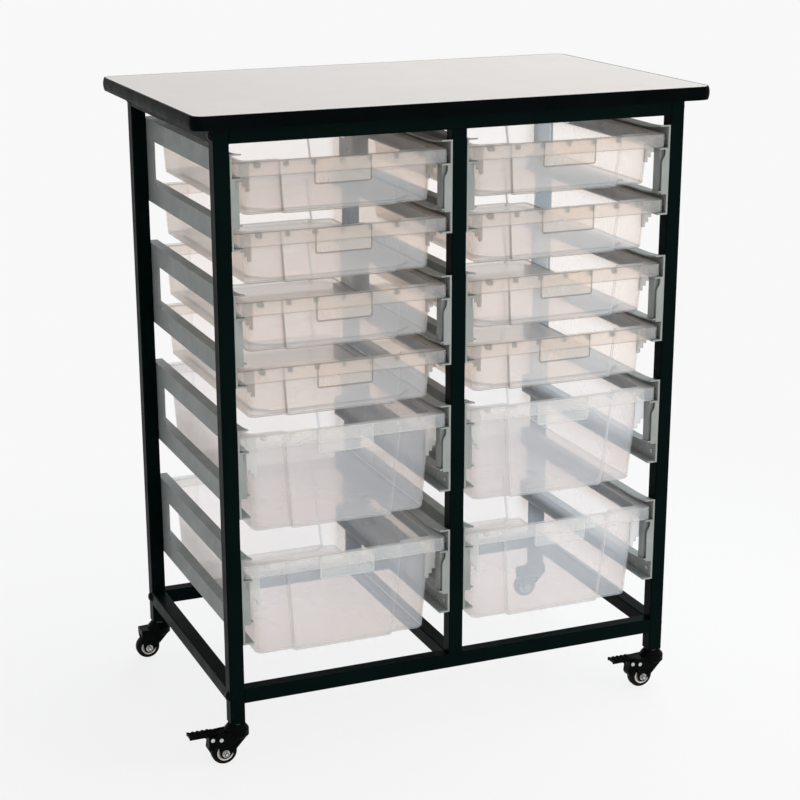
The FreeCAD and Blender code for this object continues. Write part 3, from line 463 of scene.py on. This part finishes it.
# hand tab: how far its faces lie behind the rim's front, and its border
tab = {"width": 84, "drop": 36, "corner": 4, "cornerSteps": 4, "border": 2.2, "borderSlope": 0.4,
       "raised": 0.06, "field": 0.45, "back": 2.2, "backEase": 0.3, "frontEase": 0.3, "top": 0.8,
       "topShare": 0.3}


def tabOutline(inset):
    reach, low = tab["width"] / 2 - inset, inset - tab["drop"]
    bend = max(tab["corner"] - inset, 0.6)
    top = -tab["top"] - inset * tab["topShare"]
    points = [(-reach, top), (reach, top)]
    for side, start in ((1, 0), (-1, -90)):
        for step in range(tab["cornerSteps"] + 1):
            angle = math.radians(start - 90 * step / tab["cornerSteps"])
            points.append((side * (reach - bend) + bend * math.cos(angle),
                           low + bend + bend * math.sin(angle)))
    return points


def addTab(mesh):
    # from the back edge round to the raised border and down to the field inside it; the border's front
    # faces take slot 2, painted shade on the shallow trays and painted highlight on the deep ones
    border, raised, back, ease = tab["border"], tab["raised"], tab["back"], tab["frontEase"]
    steps = [(ease, back, 3), (0, back - tab["backEase"], 3), (0, raised + ease, 2), (ease, raised, 2),
             (border - tab["borderSlope"], raised, 2), (border, tab["field"], 3)]
    stackRings(mesh, [([(x, y, z) for x, z in tabOutline(inset)], slot) for inset, y, slot in steps], 3, 3)


def addRibs(mesh):
    # under the front rim, from the skirt to the wall; the panel stands nearer in the middle; all in slot 2,
    # painted shade on the shallow trays and painted highlight on the deep ones
    under, low, reach = -tray["underRim"], -tray["ribDrop"], tray["ribWidth"] / 2
    outermost = tray["ribsEachSide"]
    for number in range(-outermost, outermost + 1):
        centre = number * tray["ribPitch"]
        wallFront = tray["flange"] - (tray["panelProud"] if abs(number) < outermost else 0)
        outline = [(centre - reach, under), (centre - reach, low),
                   (centre + reach, low), (centre + reach, under)]
        addPrism(mesh, outline, tray["underRim"], wallFront - tray["ribGap"], tray["ribEase"], 2)


def addGussets(mesh, drop):
    # three steps down towards the middle at each front corner, in slot 1, painted shade on the shallow
    # trays and painted highlight on the deep ones
    under, rise = -tray["underRim"], tray["gussetRise"]
    for side in (-1, 1):
        near, step = tray["gussetInner"] * side, tray["gussetStep"] * side
        outline = [(near, under), (near, -drop), (near + step, -drop), (near + step, rise - drop),
                   (near + 2 * step, rise - drop), (near + 2 * step, 2 * rise - drop),
                   (near + 3 * step, 2 * rise - drop), (near + 3 * step, under)]
        addPrism(mesh, outline, tray["gussetFront"], tray["gussetBack"], tray["gussetEase"])


def trayShape(height):
    def build(mesh):
        rings = [([mesh.verts.new(point) for point in ring], slot) for ring, slot in trayRings(height)]
        count = len(rings[0][0])
        share = 2 * (tray["cornerSteps"] + 1)
        bends = (share + 1, share + 3, count - 5, count - 3)    # inner half of each panel's bent side, which takes the painted edge line of slot 1
        for (inner, slot), (outer, _) in zip(rings[:-1], rings[1:]):
            for index in range(count):
                following = (index + 1) % count
                face = mesh.faces.new((inner[index], outer[index], outer[following], inner[following]))
                face.material_index = 1 if index in bends and slot == 0 else slot
        mesh.faces.new(rings[0][0])
        mesh.faces.new(list(reversed(rings[-1][0])))
        bmesh.ops.recalc_face_normals(mesh, faces=mesh.faces)
        addTab(mesh)
        addRibs(mesh)
        addGussets(mesh, tray["gussetDrop"][height])
    return build


# finishes by slot: the edge, crease and floor finishes of the shallow trays are painted shade, and the deep
# trays' edge and crease finish is painted highlight
trayFinishes = {75: (trayPlastic, trayPaintedEdgeShade, trayPaintedCreaseShade, trayRim, trayPaintedCreaseShade),
                150: (deepPlastic, trayPaintedHighlight, trayPaintedHighlight, trayMilk, deepPlastic)}
trayData = {height: meshData("trayShell" + str(height), trayShape(height), finishes)
            for height, finishes in trayFinishes.items()}


def placeTrays():
    for bay in ("left", "right"):
        for number in range(1, 7):
            node = "tray_" + bay + "_" + str(number)
            low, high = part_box(node)
            piece = bpy.data.objects.new("trayShell_" + bay + "_" + str(number),
                                         trayData[75 if number <= 4 else 150])
            bpy.context.scene.collection.objects.link(piece)
            piece.location = ((low.x + high.x) / 2, low.y, high.z)
            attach(piece, node)
            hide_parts(node)


placeTrays()
print("trays placed")


# a dark locking ring in each axle nut's face, with the bolt's bright end in its middle
nutEnd = {"collar": 3.3, "collarEase": 0.25, "shoulder": 0.18, "collarRise": 0.3, "groove": 2.5,
          "grooveFloor": 0.05, "grooveSlope": 0.1, "bolt": 2.1, "boltEase": 0.5, "boltShoulder": 0.45,
          "boltRise": 0.75, "sunk": 0.3, "sides": 28}


def nutEndShape(mesh):
    # pairs of radius and height on the nut's face, with the strip's finish: 0 ring, 1 bolt
    collar, groove, bolt, rise = nutEnd["collar"], nutEnd["groove"], nutEnd["bolt"], nutEnd["collarRise"]
    profile = [(collar, -nutEnd["sunk"], 0), (collar, nutEnd["shoulder"], 0),
               (collar - nutEnd["collarEase"], rise, 0), (groove, rise, 0),
               (groove - nutEnd["grooveSlope"], nutEnd["grooveFloor"], 0), (bolt, nutEnd["grooveFloor"], 1),
               (bolt, nutEnd["boltShoulder"], 1), (bolt - nutEnd["boltEase"], nutEnd["boltRise"], 1)]
    turns = [2 * math.pi * step / nutEnd["sides"] for step in range(nutEnd["sides"])]
    stackRings(mesh, [([(radius * math.cos(turn), -out, radius * math.sin(turn)) for turn in turns], slot)
                      for radius, out, slot in profile], 0, 1)


def placeNutEnds():
    data = meshData("nutEnd", nutEndShape, (plugFinish, zincFinish))
    for name in ("front_left", "front_right", "rear_left", "rear_right"):
        node = "castor_pins_" + name
        low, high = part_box(node)
        wheelLow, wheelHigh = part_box("castor_tyre_" + name)
        for side, y, turn in (("near", low.y, 0), ("far", high.y, math.pi)):
            piece = bpy.data.objects.new("nutEnd_" + name + "_" + side, data)
            bpy.context.scene.collection.objects.link(piece)
            piece.location = ((wheelLow.x + wheelHigh.x) / 2, y, (wheelLow.z + wheelHigh.z) / 2)
            piece.rotation_euler = (0, 0, turn)
            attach(piece, "swivel_" + name)


placeNutEnds()
print("axle nuts finished")


# camera
def addCamera():
    view = {"place": (-1.0963, -2.6198, 1.2867), "turn": 22.104, "tilt": -17.924, "roll": -0.263,
            "lens": 85.997, "sensor": 36, "shift": (0.0238, 0.0652)}
    turn, tilt, roll = (math.radians(view[key]) for key in ("turn", "tilt", "roll"))
    forward = Vector((math.sin(turn) * math.cos(tilt), math.cos(turn) * math.cos(tilt), math.sin(tilt)))
    right = Vector((math.cos(turn), -math.sin(turn), 0))
    up = right.cross(forward)
    rolledRight = right * math.cos(roll) + up * math.sin(roll)
    rolledUp = up * math.cos(roll) - right * math.sin(roll)
    camera = bpy.data.objects.new("viewCamera", bpy.data.cameras.new("viewCamera"))
    camera.matrix_world = (Matrix.Translation(view["place"])
                           @ Matrix((rolledRight, rolledUp, -forward)).transposed().to_4x4())
    camera.data.lens = view["lens"]
    camera.data.sensor_width = view["sensor"]
    camera.data.shift_x, camera.data.shift_y = view["shift"]
    bpy.context.scene.collection.objects.link(camera)
    bpy.context.scene.camera = camera


# soft lamps round the unit, all aimed at its middle; sizes and places in metres, power in watts
def addLamps():
    middle = Vector((0, 0, 0.5))
    lamps = {"keyLamp": {"place": (-0.7, -3.4, 1.5), "size": 2.2, "power": 44, "colour": (1.0, 0.95, 0.88)},
             "fillLamp": {"place": (2.9, -2.2, 1.2), "size": 2.0, "power": 66, "colour": (1.0, 0.95, 0.90)},
             "sideLamp": {"place": (2.1, 0.4, 0.8), "size": 1.5, "power": 14, "colour": (0.78, 0.90, 1.0)},
             "overLamp": {"place": (1.3, 0.4, 3.1), "size": 2.6, "power": 46, "colour": (1.0, 0.97, 0.93)},
             "backLamp": {"place": (1.5, 3.0, 0.5), "size": 1.6, "power": 100, "colour": (0.60, 0.81, 1.0)}}
    for name, lamp in lamps.items():
        data = bpy.data.lights.new(name, "AREA")
        data.shape = "SQUARE"
        data.size = lamp["size"]
        data.energy = lamp["power"]
        data.color = lamp["colour"]
        holder = bpy.data.objects.new(name, data)
        holder.location = lamp["place"]
        holder.visible_glossy = False           # gloss shows the pale room, with no lamp glaring in it
        holder.rotation_euler = (middle - Vector(lamp["place"])).to_track_quat("-Z", "Y").to_euler()
        bpy.context.scene.collection.objects.link(holder)


def shownDirectly(tree):
    # 1 for what the camera, gloss and clear plastic show, 0 for the light that falls on things
    path = addNode(tree, "ShaderNodeLightPath")
    seen = path.outputs["Is Camera Ray"]
    for ray in ("Is Glossy Ray", "Is Transmission Ray"):
        either = addNode(tree, "ShaderNodeMath", {0: seen, 1: path.outputs[ray]}, operation="MAXIMUM")
        seen = either.outputs[0]
    return seen


def paleFinish(name, look):
    # lit like any floor close to the unit, and an even pale tone further out
    finish, tree, shader = startFinish(name)
    place = surfacePlace(tree)
    cloud = spread(tree, grain(tree, place, look["cloudScale"]), 0, 1)
    tree.links.new(blendColours(tree, cloud, look["ground"], look["cloud"]), shader.inputs["Base Color"])
    shader.inputs["Roughness"].default_value = look["rough"]
    shader.inputs["Specular IOR Level"].default_value = look["specular"]
    glow = addNode(tree, "ShaderNodeEmission", {"Color": (*look["backdrop"], 1), "Strength": 1.0})
    away = addNode(tree, "ShaderNodeVectorMath", {0: place}, operation="LENGTH")
    far = spread(tree, away.outputs["Value"], look["blend"][0], look["blend"][1], *look["reach"])
    share = addNode(tree, "ShaderNodeMath", {0: shownDirectly(tree), 1: far}, operation="MULTIPLY")
    mix = addNode(tree, "ShaderNodeMixShader", {0: share.outputs[0], 1: shader.outputs[0],
                                                2: glow.outputs[0]})
    tree.links.new(mix.outputs[0], tree.nodes["Material Output"].inputs["Surface"])
    return finish


# the backdrop's share rises across blend as the distance from the unit's middle crosses reach, in metres
def addFloor():
    look = {"ground": (0.91, 0.91, 0.91), "cloud": (0.895, 0.895, 0.895), "backdrop": (0.94, 0.94, 0.94),
            "cloudScale": 1.6, "rough": 0.9, "specular": 0.1, "blend": (0.86, 1.0), "reach": (0.4, 1.3)}
    size = 40000                            # far past the view on every side

    def build(mesh):
        corners = [mesh.verts.new((x * size, y * size, 0)) for x, y in ((-1, -1), (1, -1), (1, 1), (-1, 1))]
        mesh.faces.new(corners)
    data = meshData("studioFloor", build, [paleFinish("floorFinish", look)])
    floor = bpy.data.objects.new("studioFloor", data)
    bpy.context.scene.collection.objects.link(floor)


def addWorld():
    look = {"seen": (0.935, 0.935, 0.935), "high": (0.62, 0.63, 0.64), "low": (1.0, 1.0, 1.0),
            "lowToHigh": (-0.1, 0.7), "strength": 0.68, "leftShare": 0.45, "leftToRight": (-0.8, 0.1)}
    world = bpy.data.worlds.new("studioWorld")
    world.use_nodes = True
    tree = world.node_tree
    tree.nodes.clear()
    direction = addNode(tree, "ShaderNodeTexCoord").outputs["Generated"]
    height = addNode(tree, "ShaderNodeSeparateXYZ", {0: direction}).outputs["Z"]
    tone = blendColours(tree, spread(tree, height, 0, 1, *look["lowToHigh"]), look["low"], look["high"])
    # less light comes from the left
    across = addNode(tree, "ShaderNodeSeparateXYZ", {0: direction}).outputs["X"]
    share = spread(tree, across, look["leftShare"], 1, *look["leftToRight"])
    level = addNode(tree, "ShaderNodeMath", {0: share, 1: look["strength"]}, operation="MULTIPLY")
    light = addNode(tree, "ShaderNodeBackground", {"Color": tone, "Strength": level.outputs[0]})
    shown = addNode(tree, "ShaderNodeBackground", {"Color": (*look["seen"], 1), "Strength": 1.0})
    mix = addNode(tree, "ShaderNodeMixShader", {0: shownDirectly(tree), 1: light.outputs[0],
                                                2: shown.outputs[0]})
    output = addNode(tree, "ShaderNodeOutputWorld", {"Surface": mix.outputs[0]})
    output.is_active_output = True
    bpy.context.scene.world = world


addCamera()
addLamps()
addFloor()
addWorld()
bpy.context.scene.view_settings.view_transform = "Standard"
bpy.context.scene.cycles.transparent_max_bounces = 40    # a sight line crosses many tray walls
bpy.context.scene.cycles.min_transparent_bounces = 24    # and none of them is skipped by chance
print("camera, lamps and floor set")
